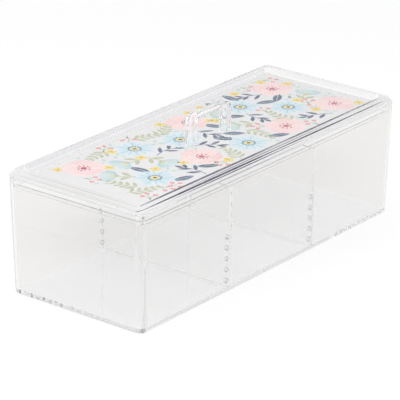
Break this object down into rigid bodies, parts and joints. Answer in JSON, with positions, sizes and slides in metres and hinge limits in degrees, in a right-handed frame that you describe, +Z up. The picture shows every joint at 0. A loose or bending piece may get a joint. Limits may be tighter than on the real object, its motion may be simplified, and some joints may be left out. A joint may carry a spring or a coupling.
{
  "type": "lidded storage box",
  "caption": "Clear plastic storage box with upright dividers and a lift-off lid: bevelled rim, sunk panel over a printed card, and a bridge handle.",
  "frame": {"origin": "middle of the flat base, on the surface that the box stands on", "axes": "+Z up, +X along the length of the box, +Y across it"},
  "size_m": [0.25, 0.102, 0.0927],
  "materials": {
    "clear_plastic": "polished, clear",
    "printed_card": "smooth, printed with flowers"
  },
  "bodies": {
    "box": {"box_body": "clear_plastic", "divider_left": "clear_plastic", "divider_right": "clear_plastic"},
    "lid": {"lid": "clear_plastic", "print_card": "printed_card", "lift_handle": "clear_plastic"}
  },
  "joints": [
    {"name": "lid_lift", "type": "slide", "parent": "box", "child": "lid", "axis": [0, 0, 1], "range_m": [0, 0.06]}
  ]
}
